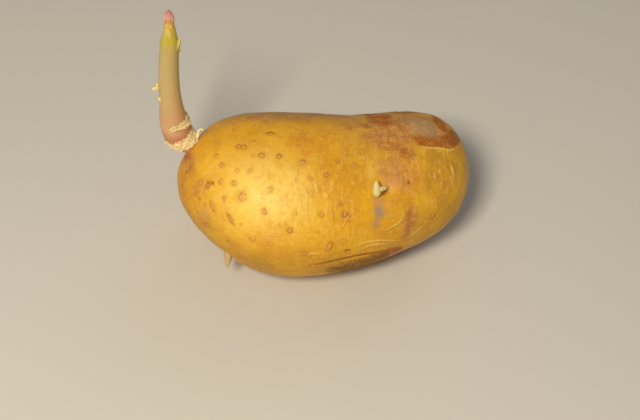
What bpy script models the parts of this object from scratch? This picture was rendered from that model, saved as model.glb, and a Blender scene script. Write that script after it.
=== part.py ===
"""A sprouting potato, lying on a small flat spot under its belly.

The tuber is one solid: a ball stretched along X, given its girth and its kidney bend by five
stations, then shaped by low lumps and by its eyes. Three shoots grow from eyes and are solids of
their own: a long one that stands up at the rose end, a bud on the front and a short tooth low on
the front. Each shoot's foot follows the skin that it stands on.

Frame: origin at the middle of the flat spot, +X along the tuber from its rose end to its stem end,
+Z up. Sizes below are in millimetres and angles in degrees. MM turns them into metres.
"""

import math
import random

import bmesh
import bpy
from mathutils import Matrix, Vector, noise

MM = 0.001

# Tuber: values at five stations, from the rose end (-1) to the stem end (+1)
HALF_LENGTH = 48.0
STATIONS = (-1.0, -0.5, 0.0, 0.5, 1.0)
GIRTH = (29.5, 29.2, 26.2, 26.6, 35.0)
BEND_BACK = (1.5, -1.2, -2.4, 0.6, 3.0)
BEND_UP = (26.5, 24.4, 22.6, 23.5, 26.2)
WIDTH_SHARE = 1.07
HEIGHT_SHARE = 0.93
FLAT_SPOT_AT = Vector((-4.5, -2.4, -0.85))

# Mesh of the tuber: cells along it, and across each of its sides
CELLS_ALONG = 38
CELLS_ACROSS = 24

# Low unevenness of the skin
LUMP_HEIGHT = 0.45
LUMP_SPACING = 17.0

# Eyes: place along the tuber (-1 to 1), turn about its length (0 on top, 90 at the front), width, depth
LONG_SHOOT_EYE = (-0.89, -49, 5.0, 0.9)
FRONT_BUD_EYE = (0.335, 42, 3.6, 1.3)
LOW_SHOOT_EYE = (-0.69, 128, 3.2, 0.7)
BARE_EYES = (
    (-0.92, 12, 3.2, 0.8),
    (-0.70, 66, 3.0, 0.7),
    (-0.17, 86, 3.8, 0.9),
    (-0.86, 190, 3.4, 1.0),
    (-0.72, -105, 3.6, 1.2),
    (-0.38, -62, 3.8, 1.2),
    (-0.42, 165, 3.6, 1.1),
    (0.08, -118, 4.0, 1.4),
    (0.36, 144, 3.8, 1.2),
    (0.55, -70, 3.8, 1.1),
    (0.70, 205, 3.6, 1.1),
)
BROW_HEIGHT = 0.45
BROW_REACH = 1.25
BROW_BREADTH = 0.45
STEM_SCAR = (0.985, -25, 2.6, 1.0)

# Long shoot: centreline and diameter, from inside its eye to its tip
LONG_SHOOT = (
    (-36.6, 10.4, 36.4, 7.6),
    (-39.6, 11.4, 39.3, 9.4),
    (-42.0, 11.5, 43.0, 9.7),
    (-43.4, 11.1, 48.0, 9.3),
    (-43.9, 10.4, 54.4, 7.5),
    (-44.5, 9.8, 61.7, 6.3),
    (-44.6, 9.0, 69.3, 5.9),
    (-44.3, 8.1, 77.1, 5.8),
    (-43.9, 7.4, 82.6, 5.2),
    (-43.8, 6.9, 87.0, 3.9),
    (-43.9, 6.5, 90.4, 3.2),
    (-43.9, 6.2, 94.0, 3.2),
    (-44.0, 6.0, 96.2, 1.8),
    (-44.0, 5.9, 97.0, 0.7),
)
FRONT_BUD = (
    (21.8, -14.2, 39.6, 1.0),
    (20.7, -15.6, 41.3, 1.5),
    (19.3, -17.0, 41.8, 1.9),
    (17.9, -17.8, 41.2, 2.7),
    (17.7, -17.2, 42.2, 2.5),
    (17.7, -16.2, 43.2, 1.6),
    (17.8, -15.6, 43.9, 0.6),
)
LOW_SHOOT = (
    (-27.8, -13.4, 15.4, 3.4),
    (-28.5, -15.2, 13.7, 3.2),
    (-28.7, -16.6, 12.5, 2.7),
    (-28.7, -17.8, 11.4, 1.7),
    (-28.6, -18.7, 10.6, 0.6),
)

# Rings of root nubs round the long shoot's foot: centre, the way the ring faces, radius, and the
# bearing and half-angle of its bare side
NUB_RINGS = (
    ((-39.4, 11.5, 39.4), (-0.58, 0.34, 0.74), 4.9, 0, 0),
    ((-42.8, 11.2, 47.4), (-0.40, 0.06, 0.91), 4.6, 195, 62),
)
NUBS_A_ROW = 16
NUB_ROWS = (-1.2, 0.0, 1.2)
NUB_RADIUS = 0.85
NUB_LENGTHS = (0.9, 1.35)
NUB_SUNK = 0.35
NUB_DRIFT = 0.15
NUB_SEED = 7

# Scale leaves of the long shoot: height, bearing (0 is +X, 90 is +Y), length, width, thickness, and
# lean outwards
SCALE_LEAVES = (
    (56.4, 192, 3.6, 2.2, 1.4, 22),
    (60.0, 186, 4.6, 2.6, 1.5, 30),
    (75.4, 345, 5.2, 3.2, 1.0, 8),
    (80.2, 335, 5.4, 3.2, 1.0, 7),
    (79.5, 205, 9.0, 3.4, 1.0, 2),
    (82.0, 80, 8.5, 3.2, 1.0, 3),
    (86.0, 275, 5.6, 2.8, 1.0, 4),
    (90.0, 30, 6.0, 2.4, 1.1, 2),
    (90.6, 170, 5.8, 2.4, 1.1, 2),
)

# Shape of a scale leaf: depth of its foot in the shoot, gap behind its tip, how much it narrows and
# thins from foot to tip, and how closely its sides hug the shoot
LEAF_SUNK = 0.2
LEAF_TIP_GAP = 0.25
LEAF_BELOW_FOOT = 0.12
LEAF_STRETCH = 1.08
LEAF_BREADTH = 1.1
LEAF_NARROWING = 0.75
LEAF_FOOT_THICKNESS = 1.15
LEAF_THINNING = 0.6
LEAF_HUG = 0.4

# Thinnest radius of a stem's end
THINNEST_STEM = 0.3

# How the meshes meet
SEAT_GAP = 0.3
CAP_WELD = 0.02
CUT_WELD = 0.001
TUBE_SIDES_STEP = 3

SKIN_GOLD = (0.69, 0.38, 0.045, 1.0)
SHOOT_CREAM = (0.72, 0.60, 0.28, 1.0)
BUD_CREAM = (0.78, 0.70, 0.40, 1.0)


def clear_scene():
    """Removes whatever the scene holds at the start."""
    for obj in list(bpy.data.objects):
        bpy.data.objects.remove(obj)


def new_collection(name):
    """A collection linked into the scene."""
    collection = bpy.data.collections.new(name)
    bpy.context.scene.collection.children.link(collection)
    return collection


def new_material(name, colour, roughness):
    """A Principled material with a plain colour."""
    material = bpy.data.materials.new(name)
    material.use_nodes = True
    shader = material.node_tree.nodes["Principled BSDF"]
    shader.inputs["Base Color"].default_value = colour
    shader.inputs["Roughness"].default_value = roughness
    shader.inputs["Metallic"].default_value = 0.0
    return material


def new_object(name, mesh, collection):
    """An object for a mesh, linked into a collection."""
    obj = bpy.data.objects.new(name, mesh)
    collection.objects.link(obj)
    return obj


def at_station(values, along):
    """The smooth curve through the five station values, read at a place along the tuber."""
    total = 0.0
    for value, station in zip(values, STATIONS):
        weight = 1.0
        for other in STATIONS:
            if other != station:
                weight *= (along - other) / (station - other)
        total += value * weight
    return total


def smooth_skin(direction):
    """The point of the smooth tuber for a direction on the unit ball, in millimetres."""
    along = direction.x
    girth = at_station(GIRTH, along)
    point = Vector(
        (
            HALF_LENGTH * along,
            at_station(BEND_BACK, along) + girth * WIDTH_SHARE * direction.y,
            at_station(BEND_UP, along) + girth * HEIGHT_SHARE * direction.z,
        )
    )
    return point - FLAT_SPOT_AT


def ball_direction(along, turn):
    """The direction on the unit ball for a place along the tuber and a turn about its length."""
    across = math.sqrt(1.0 - along * along)
    angle = math.radians(turn)
    return Vector((along, -across * math.sin(angle), across * math.cos(angle)))


def eye_relief(point, eye, brow):
    """Height that an eye gives the skin: a hollow, with a brow on the side of the stem end."""
    along, turn, width, depth = eye
    offset = point - smooth_skin(ball_direction(along, turn))
    distance = offset.length / width
    height = -depth * math.exp(-distance * distance)
    if brow and offset.length > 0.0:
        facing = max(0.0, offset.x / offset.length)
        height += BROW_HEIGHT * facing * math.exp(-(((distance - BROW_REACH) / BROW_BREADTH) ** 2))
    return height


def skin_relief(point):
    """Height of the lumps and eyes above the smooth tuber at a point of it."""
    height = LUMP_HEIGHT * noise.noise(point / LUMP_SPACING)
    for eye in (FRONT_BUD_EYE, LOW_SHOOT_EYE, *BARE_EYES):
        height += eye_relief(point, eye, brow=True)
    for eye in (LONG_SHOOT_EYE, STEM_SCAR):
        height += eye_relief(point, eye, brow=False)
    return height


def ball_of_squares():
    """A cube cut into cells and blown up to a unit ball, with more cells along X than across."""
    bm = bmesh.new()
    bmesh.ops.create_cube(bm, size=2.0)
    lengthwise = [e for e in bm.edges if abs(e.verts[0].co.x - e.verts[1].co.x) > 1.0]
    bmesh.ops.subdivide_edges(bm, edges=lengthwise, cuts=CELLS_ALONG - 1, use_grid_fill=True)
    crosswise = [e for e in bm.edges if abs(e.verts[0].co.x - e.verts[1].co.x) < 1e-6]
    bmesh.ops.subdivide_edges(bm, edges=crosswise, cuts=CELLS_ACROSS - 1, use_grid_fill=True)
    for vert in bm.verts:
        even = Vector([math.tan(c * math.pi / 4.0) for c in vert.co])
        vert.co = even.normalized()
    return bm


def build_tuber(collection, material):
    """The potato itself, with its eyes, resting on a flat spot at Z = 0."""
    bm = ball_of_squares()
    for vert in bm.verts:
        vert.co = smooth_skin(vert.co)
    bm.normal_update()
    raised = {vert: vert.co + vert.normal * skin_relief(vert.co) for vert in bm.verts}
    for vert, point in raised.items():
        vert.co = Vector((point.x, point.y, max(0.0, point.z))) * MM
    mesh = bpy.data.meshes.new("tuber")
    bm.to_mesh(mesh)
    bm.free()
    mesh.materials.append(material)
    mesh.shade_smooth()
    return new_object("tuber", mesh, collection)


def skin_cutter(tuber, collection):
    """The tuber grown by the seat gap, which cuts each shoot's foot to the skin."""
    mesh = tuber.data.copy()
    normals = [Vector(n.vector) for n in mesh.vertex_normals]
    for vert, normal in zip(mesh.vertices, normals):
        vert.co = Vector(vert.co) + normal * SEAT_GAP * MM
    cutter = new_object("skin_cutter", mesh, collection)
    cutter.hide_render = True
    cutter.display_type = "WIRE"
    return cutter


def smooth_route(stations, steps):
    """Points and diameters on a smooth curve through the stations, steps to each span."""
    rows = [Vector((x, y, z, d)) for x, y, z, d in stations]
    rows = [2 * rows[0] - rows[1], *rows, 2 * rows[-1] - rows[-2]]
    route = []
    for before, here, there, after in zip(rows, rows[1:], rows[2:], rows[3:]):
        for step in range(steps):
            t = step / steps
            route.append(
                here
                + (there - before) * 0.5 * t
                + (before * 2 - here * 5 + there * 4 - after) * 0.5 * t * t
                + (here * 3 - before - there * 3 + after) * 0.5 * t * t * t
            )
    route.append(rows[-2])
    return route


def build_stem(name, stations, steps, collection):
    """A closed stem of changing thickness, as a mesh."""
    curve = bpy.data.curves.new(name, "CURVE")
    curve.dimensions = "3D"
    curve.bevel_depth = MM
    curve.bevel_resolution = TUBE_SIDES_STEP
    curve.use_fill_caps = True
    route = smooth_route(stations, steps)
    spline = curve.splines.new("POLY")
    spline.points.add(len(route) - 1)
    for point, row in zip(spline.points, route):
        point.co = (*(row.xyz * MM), 1.0)
        point.radius = max(THINNEST_STEM, row.w * 0.5)
    guide = new_object(name + "_guide", curve, collection)
    bpy.context.view_layer.update()
    graph = bpy.context.evaluated_depsgraph_get()
    mesh = bpy.data.meshes.new_from_object(guide.evaluated_get(graph))
    stem = new_object(name, mesh, collection)
    stem.matrix_world = guide.matrix_world
    bpy.data.objects.remove(guide)
    bm = bmesh.new()
    bm.from_mesh(mesh)
    bmesh.ops.remove_doubles(bm, verts=bm.verts, dist=CAP_WELD * MM)
    bmesh.ops.recalc_face_normals(bm, faces=bm.faces)
    bm.to_mesh(mesh)
    bm.free()
    return stem


def add_nub(name, centre, outwards, length, collection):
    """A small blunt root nub, half sunk in the stem."""
    bm = bmesh.new()
    bmesh.ops.create_icosphere(bm, subdivisions=1, radius=1.0)
    mesh = bpy.data.meshes.new(name)
    stretch = Matrix.Diagonal((NUB_RADIUS, NUB_RADIUS, length, 1.0))
    turn = outwards.to_track_quat("Z", "Y").to_matrix().to_4x4()
    place = Matrix.Scale(MM, 4) @ Matrix.Translation(centre) @ turn @ stretch
    bmesh.ops.transform(bm, matrix=place, verts=bm.verts)
    bm.to_mesh(mesh)
    bm.free()
    return new_object(name, mesh, collection)


def add_nub_rings(collection):
    """The rings of root nubs, in staggered rows."""
    draw = random.Random(NUB_SEED)
    for ring, (centre, facing, radius, bare_bearing, bare_reach) in enumerate(NUB_RINGS):
        axis = Vector(facing).normalized()
        side = axis.orthogonal().normalized()
        for row, rise in enumerate(NUB_ROWS):
            for n in range(NUBS_A_ROW):
                turn = (n + 0.5 * row + draw.uniform(-NUB_DRIFT, NUB_DRIFT)) * 2 * math.pi / NUBS_A_ROW
                length = draw.uniform(*NUB_LENGTHS)
                outwards = Matrix.Rotation(turn, 3, axis) @ side
                bearing = math.degrees(math.atan2(outwards.y, outwards.x))
                if abs((bearing - bare_bearing + 180) % 360 - 180) < bare_reach:
                    continue
                place = Vector(centre) + outwards * (radius - NUB_SUNK) + axis * rise
                add_nub(f"nub_{ring}_{row}_{n}", place, outwards, length, collection)


def stem_at_height(height):
    """Centre and radius of the long shoot at a height."""
    route = smooth_route(LONG_SHOOT, 6)
    nearest = min(route, key=lambda row: abs(row.z - height))
    return nearest.xyz, nearest.w * 0.5


def add_scale_leaf(name, leaf, collection):
    """A pointed scale leaf that hugs the shoot, thickest at its foot."""
    height, bearing, length, width, thickness, lean = leaf
    centre, radius = stem_at_height(height)
    top_centre, top_radius = stem_at_height(height + length)
    angle = math.radians(bearing)
    outwards = Vector((math.cos(angle), math.sin(angle), 0.0))
    foot = centre + outwards * (radius - LEAF_SUNK)
    stand_off = LEAF_TIP_GAP + length * math.sin(math.radians(lean))
    tip = top_centre + outwards * (top_radius + stand_off)
    along = (tip - foot).normalized()
    across = along.cross(outwards).normalized()
    bm = bmesh.new()
    bmesh.ops.create_icosphere(bm, subdivisions=2, radius=0.5)
    for vert in bm.verts:
        share = vert.co.z + 0.5
        narrow = 1.0 - LEAF_NARROWING * share * share
        thick = LEAF_FOOT_THICKNESS - LEAF_THINNING * share
        hug = -LEAF_HUG * (vert.co.x * width * narrow) ** 2 / max(radius, 1.0)
        vert.co = (
            foot
            + along * (share - LEAF_BELOW_FOOT) * (tip - foot).length * LEAF_STRETCH
            + across * vert.co.x * width * narrow * LEAF_BREADTH
            + outwards * (vert.co.y * thickness * thick + hug)
        ) * MM
    bmesh.ops.recalc_face_normals(bm, faces=bm.faces)
    mesh = bpy.data.meshes.new(name)
    bm.to_mesh(mesh)
    bm.free()
    return new_object(name, mesh, collection)


def apply_modifiers(obj):
    """Replaces an object's mesh by the evaluated one and drops its modifiers."""
    bpy.context.view_layer.update()
    graph = bpy.context.evaluated_depsgraph_get()
    mesh = bpy.data.meshes.new_from_object(obj.evaluated_get(graph))
    obj.modifiers.clear()
    obj.data = mesh


def join_all(obj, others):
    """Joins a collection of closed shapes to an object in one Boolean union, and removes them."""
    union = obj.modifiers.new("fuse", "BOOLEAN")
    union.operation = "UNION"
    union.operand_type = "COLLECTION"
    union.collection = others
    union.solver = "EXACT"
    apply_modifiers(obj)
    for other in list(others.objects):
        bpy.data.objects.remove(other)
    bpy.data.collections.remove(others)


def keep_largest_body(obj):
    """Drops the loose scraps that a cut leaves, and welds points that fall together."""
    bm = bmesh.new()
    bm.from_mesh(obj.data)
    bmesh.ops.remove_doubles(bm, verts=bm.verts, dist=CUT_WELD * MM)
    waiting = set(bm.faces)
    bodies = []
    while waiting:
        body = [waiting.pop()]
        for face in body:
            beside = {other for edge in face.edges for other in edge.link_faces} & waiting
            waiting -= beside
            body.extend(beside)
        bodies.append(body)
    largest = max(bodies, key=len)
    scraps = [face for body in bodies if body is not largest for face in body]
    bmesh.ops.delete(bm, geom=scraps, context="FACES")
    bmesh.ops.triangulate(bm, faces=bm.faces)
    bm.to_mesh(obj.data)
    bm.free()


def seat_on_skin(shoot, cutter, material):
    """Cuts a shoot's foot to the skin and gives the shoot its material."""
    cut = shoot.modifiers.new("seat", "BOOLEAN")
    cut.operation = "DIFFERENCE"
    cut.object = cutter
    cut.solver = "EXACT"
    apply_modifiers(shoot)
    keep_largest_body(shoot)
    shoot.data.materials.clear()
    shoot.data.materials.append(material)
    shoot.data.shade_smooth()


def build_long_shoot(collection, cutter, material):
    """The upright shoot with its rings of root nubs and its scale leaves."""
    shoot = build_stem("long_shoot", LONG_SHOOT, 2, collection)
    growths = new_collection("growths")
    add_nub_rings(growths)
    for n, leaf in enumerate(SCALE_LEAVES):
        add_scale_leaf(f"scale_leaf_{n}", leaf, growths)
    join_all(shoot, growths)
    seat_on_skin(shoot, cutter, material)


def build_small_shoot(name, stations, collection, cutter, material):
    """A short bare shoot."""
    shoot = build_stem(name, stations, 3, collection)
    seat_on_skin(shoot, cutter, material)


def main():
    clear_scene()
    potato = new_collection("potato")
    cutters = new_collection("cutters")
    skin = new_material("tuber_skin", SKIN_GOLD, 0.42)
    shoot = new_material("shoot_flesh", SHOOT_CREAM, 0.5)
    bud = new_material("bud_flesh", BUD_CREAM, 0.5)
    tuber = build_tuber(potato, skin)
    cutter = skin_cutter(tuber, cutters)
    build_long_shoot(potato, cutter, shoot)
    build_small_shoot("front_bud", FRONT_BUD, potato, cutter, bud)
    build_small_shoot("low_shoot", LOW_SHOOT, potato, cutter, bud)


main()
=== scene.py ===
# %% [markdown]
# # A sprouting potato
# A long-oval table potato that has lain in store too long. Its golden skin has begun to wrinkle,
# one end is russeted and scabbed, and its eyes have woken: one shoot stands up tall and two are
# only buds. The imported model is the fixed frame. It gives the real shape and size, and every piece
# below is fitted to it.

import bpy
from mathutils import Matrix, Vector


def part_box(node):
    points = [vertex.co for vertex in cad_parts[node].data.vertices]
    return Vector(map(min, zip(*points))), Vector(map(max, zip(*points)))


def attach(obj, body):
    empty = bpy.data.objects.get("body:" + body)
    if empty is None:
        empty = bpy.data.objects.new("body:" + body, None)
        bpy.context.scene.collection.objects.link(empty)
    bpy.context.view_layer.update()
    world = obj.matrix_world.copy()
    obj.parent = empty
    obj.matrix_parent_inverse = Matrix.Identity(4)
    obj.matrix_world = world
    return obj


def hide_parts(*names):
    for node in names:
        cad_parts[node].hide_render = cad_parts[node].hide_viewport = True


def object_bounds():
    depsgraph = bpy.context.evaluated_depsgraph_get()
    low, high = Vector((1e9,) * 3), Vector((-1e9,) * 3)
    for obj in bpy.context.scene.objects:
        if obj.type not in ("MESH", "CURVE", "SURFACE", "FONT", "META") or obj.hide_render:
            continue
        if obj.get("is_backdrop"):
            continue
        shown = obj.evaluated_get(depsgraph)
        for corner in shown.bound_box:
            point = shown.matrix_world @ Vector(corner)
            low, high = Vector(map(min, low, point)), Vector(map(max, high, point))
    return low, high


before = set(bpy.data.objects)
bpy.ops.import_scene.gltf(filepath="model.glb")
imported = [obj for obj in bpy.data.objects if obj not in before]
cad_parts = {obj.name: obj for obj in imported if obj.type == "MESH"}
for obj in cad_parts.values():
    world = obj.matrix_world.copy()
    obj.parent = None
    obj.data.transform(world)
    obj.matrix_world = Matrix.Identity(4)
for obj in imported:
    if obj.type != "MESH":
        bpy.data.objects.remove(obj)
cad_low, cad_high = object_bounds()
print("packed model, in metres:", [round(c, 4) for c in cad_high - cad_low])

# %% Bring in what the lesson uses
import math
import random

import bpy
import numpy as np
from mathutils import Matrix, Vector, noise
from mathutils.bvhtree import BVHTree

MM = 0.001
HIDDEN_SEED = 11

# %% [markdown]
# ## Camera
# The picture was taken by hand from above and a little to the left, with the camera tipped slightly
# to one side. We turn a camera by those three angles, and because we keep its turn and its focal
# length in pixels, we can later ask which point of the skin lies behind any pixel of the 640 by 420
# picture.

# %% Place the camera
PICTURE = (640, 420)
SENSOR_MM = 36.0
FOCAL_PX = 1360.0
CAMERA_AT = Vector((-48.6, -306.3, 341.95))
AZIMUTH, ELEVATION, ROLL = (math.radians(a) for a in (-9.6, 46.4, 4.05))

camera_turn = (
    Matrix.Rotation(AZIMUTH, 3, "Z")
    @ Matrix.Rotation(math.radians(90) - ELEVATION, 3, "X")
    @ Matrix.Rotation(ROLL, 3, "Z")
)
bpy.ops.object.camera_add(location=CAMERA_AT * MM, rotation=camera_turn.to_euler())
camera = bpy.context.object
camera.data.sensor_width = SENSOR_MM
camera.data.lens = SENSOR_MM * FOCAL_PX / PICTURE[0]
camera.data.clip_start = 0.01
bpy.context.scene.camera = camera
bpy.context.scene.view_settings.view_transform = "Standard"
print("lens, in millimetres:", round(camera.data.lens, 1))

# %% Ray through a pixel of the picture
def ray_through(px, py):
    """Direction of the ray from the camera through a pixel."""
    across = (px - PICTURE[0] / 2) / FOCAL_PX
    down = (py - PICTURE[1] / 2) / FOCAL_PX
    return (camera_turn @ Vector((across, -down, -1.0))).normalized()


# %% [markdown]
# ## Floor and light
# A pale matt floor and soft light let the skin speak. The key light stands close to the camera, up
# and to its left, as a bounced flash would. It is wide, so shadows have soft edges. A weaker light
# from behind and the pale surroundings keep the far side readable.

# %% Colours are written as hex values and turned to linear light
def linear(hex_colour):
    """Linear RGBA of an sRGB hex colour."""
    parts = [int(hex_colour[n : n + 2], 16) / 255 for n in (1, 3, 5)]
    return (*[c / 12.92 if c <= 0.04045 else ((c + 0.055) / 1.055) ** 2.4 for c in parts], 1.0)


# %% One function adds a shader node
def feed(material, node, inputs):
    """Sets inputs of a node, or links them to a socket or to another node's first output."""
    for name, value in inputs.items():
        if isinstance(value, bpy.types.Node):
            value = value.outputs[0]
        if isinstance(value, bpy.types.NodeSocket):
            material.node_tree.links.new(value, node.inputs[name])
        else:
            node.inputs[name].default_value = value


def add(material, kind, inputs=None, stops=(), **settings):
    """Adds a node with its settings, its inputs and the stops of its ramp, and returns it."""
    node = material.node_tree.nodes.new("ShaderNode" + kind)
    for name, value in settings.items():
        setattr(node, name, value)
    feed(material, node, inputs or {})
    if stops:
        while len(node.color_ramp.elements) < len(stops):
            node.color_ramp.elements.new(1.0)
        for element, (place, colour) in zip(node.color_ramp.elements, stops):
            element.position = place
            element.color = linear(colour)
    return node


# %% An empty material with its shader
def new_material(name):
    """A material whose tree holds only a Principled shader and the output, and that shader."""
    material = bpy.data.materials.new(name)
    material.use_nodes = True
    return material, material.node_tree.nodes["Principled BSDF"]


# %% Floor of pale matt board, whose faint clouds keep it from looking flat
FLOOR_SIZE = 6.0
BOARD_PALE, BOARD_SHADE = "#CFCBC2", "#C8C4BA"
CLOUD_MM = 160.0

board, board_shader = new_material("matt_board")
board_place = add(board, "TexCoord").outputs["Object"]
board_cloud = add(
    board, "TexNoise", {"Vector": board_place, "Scale": 1 / (CLOUD_MM * MM), "Detail": 2.0}
)
board_mix = add(
    board, "MixRGB", {"Fac": board_cloud, "Color1": linear(BOARD_PALE), "Color2": linear(BOARD_SHADE)}
)
feed(board, board_shader, {"Base Color": board_mix, "Roughness": 0.8})

bpy.ops.mesh.primitive_plane_add(size=FLOOR_SIZE, location=(0, 0, 0))
floor = bpy.context.object
floor.name = "floor"
floor.data.materials.append(board)
floor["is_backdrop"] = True
print("floor:", floor.dimensions.x, "m wide")

# %% Lights
OBJECT_MIDDLE = Vector((0.0, 0.0, 30.0))
# Direction from the object, distance and size in millimetres, watts and tint of each square light
LIGHTS = {
    "key_light": ((-0.31, -0.60, 0.74), 700.0, 150.0, 4.8, "#FFF4E2"),
    "back_light": ((0.55, 0.70, 0.55), 900.0, 700.0, 1.0, "#FFFFFF"),
}
for name, (direction, distance_mm, size_mm, watts, tint) in LIGHTS.items():
    place = OBJECT_MIDDLE + Vector(direction).normalized() * distance_mm
    bpy.ops.object.light_add(type="AREA", location=place * MM)
    light = bpy.context.object
    light.name = name
    light.rotation_euler = (place - OBJECT_MIDDLE).to_track_quat("Z", "Y").to_euler()
    light.data.size = size_mm * MM
    light.data.energy = watts
    light.data.color = linear(tint)[:3]
print("lights:", ", ".join(LIGHTS))

surroundings = bpy.data.worlds.new("surroundings")
surroundings.use_nodes = True
glow = surroundings.node_tree.nodes["Background"].inputs
glow["Color"].default_value = linear("#F2EFEA")
glow["Strength"].default_value = 0.22
bpy.context.scene.world = surroundings

# %% [markdown]
# ## The tuber's skin
# The tuber is one solid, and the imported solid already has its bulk, its bend, its eyes and its flat
# spot. So we copy it, merge its loose triangles, turn them back to squares and let a Subdivision
# modifier round it. That leaves squares of about half a millimetre, fine enough to carve pores and
# folds by moving points.

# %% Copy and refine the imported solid
ROUNDING_LEVELS = 2


def pick(*pieces):
    """Selects just these pieces and makes the first one active."""
    bpy.ops.object.select_all(action="DESELECT")
    for piece in pieces:
        piece.select_set(True)
    if pieces:
        bpy.context.view_layer.objects.active = pieces[0]


def finish_modifiers(piece):
    """Applies every modifier of a piece, as by hand."""
    pick(piece)
    for modifier in list(piece.modifiers):
        bpy.ops.object.modifier_apply(modifier=modifier.name)


def round_off(piece):
    """Rounds a piece with a Subdivision modifier."""
    rounding = piece.modifiers.new("rounding", "SUBSURF")
    rounding.levels = rounding.render_levels = ROUNDING_LEVELS
    finish_modifiers(piece)


skin = bpy.data.objects.new("potato_skin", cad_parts["tuber"].data.copy())
bpy.context.scene.collection.objects.link(skin)
pick(skin)
bpy.ops.object.mode_set(mode="EDIT")
bpy.ops.mesh.select_all(action="SELECT")
bpy.ops.mesh.remove_doubles(threshold=0.001 * MM)
bpy.ops.mesh.tris_convert_to_quads(face_threshold=math.radians(60), shape_threshold=math.radians(80))
bpy.ops.object.mode_set(mode="OBJECT")
round_off(skin)
print("skin faces:", len(skin.data.polygons))

# %% Read a mesh's points and normals in millimetres
def points_of(mesh):
    """The points of a mesh as an array, in millimetres."""
    flat = np.empty(len(mesh.vertices) * 3)
    mesh.vertices.foreach_get("co", flat)
    return flat.reshape(-1, 3) / MM


def normals_of(mesh):
    """The normals at a mesh's points as an array."""
    flat = np.empty(len(mesh.vertices) * 3)
    mesh.vertex_normals.foreach_get("vector", flat)
    return flat.reshape(-1, 3)


skin_points = points_of(skin.data)
skin_normals = normals_of(skin.data)
skin_tree = BVHTree.FromPolygons(
    [Vector(p) for p in skin_points],
    [tuple(face.vertices) for face in skin.data.polygons],
)
to_camera = np.array(CAMERA_AT) - skin_points
to_camera /= np.linalg.norm(to_camera, axis=1)[:, None]
facing = np.sum(skin_normals * to_camera, axis=1)
PIXEL_MM = 0.327
PICTURE_RIGHT = camera_turn @ Vector((1, 0, 0))
PICTURE_UP = camera_turn @ Vector((0, 1, 0))
PICTURE_AWAY = camera_turn @ Vector((0, 0, -1))

in_camera = (skin_points - np.array(CAMERA_AT)) @ np.array(camera_turn)
skin_px = PICTURE[0] / 2 - FOCAL_PX * in_camera[:, 0] / in_camera[:, 2]
skin_py = PICTURE[1] / 2 + FOCAL_PX * in_camera[:, 1] / in_camera[:, 2]
PICTURE_MIDDLE_OF_SKIN = (320.0, 190.0)


def seen_at(px, py, tree=skin_tree, middle=PICTURE_MIDDLE_OF_SKIN):
    """The point behind a pixel and its normal. A pixel that misses is moved in until it hits."""
    for step in range(40):
        share = 0.01 * step
        x, y = (c + (m - c) * share for c, m in zip((px, py), middle))
        place, normal, _, _ = tree.ray_cast(CAMERA_AT, ray_through(x, y))
        if place:
            return place, normal


def picture_axes(tilt):
    """Directions along and across a mark that is tilted in the picture, in degrees."""
    turn = math.radians(tilt)
    along = PICTURE_RIGHT * math.cos(turn) + PICTURE_UP * math.sin(turn)
    return along, PICTURE_UP * math.cos(turn) - PICTURE_RIGHT * math.sin(turn)


print("share of the skin that the picture shows:", round(float((facing > 0).mean()), 2))

# %% [markdown]
# ## Where the marks are
# Pores, folds, cracks and stains are what makes this potato this one, so their places are read from the
# picture. Each is written as a pixel, and a ray through that pixel finds its point on the skin.
# On the side that the picture hides, marks of the same kinds are dealt out by a seeded draw.

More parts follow.
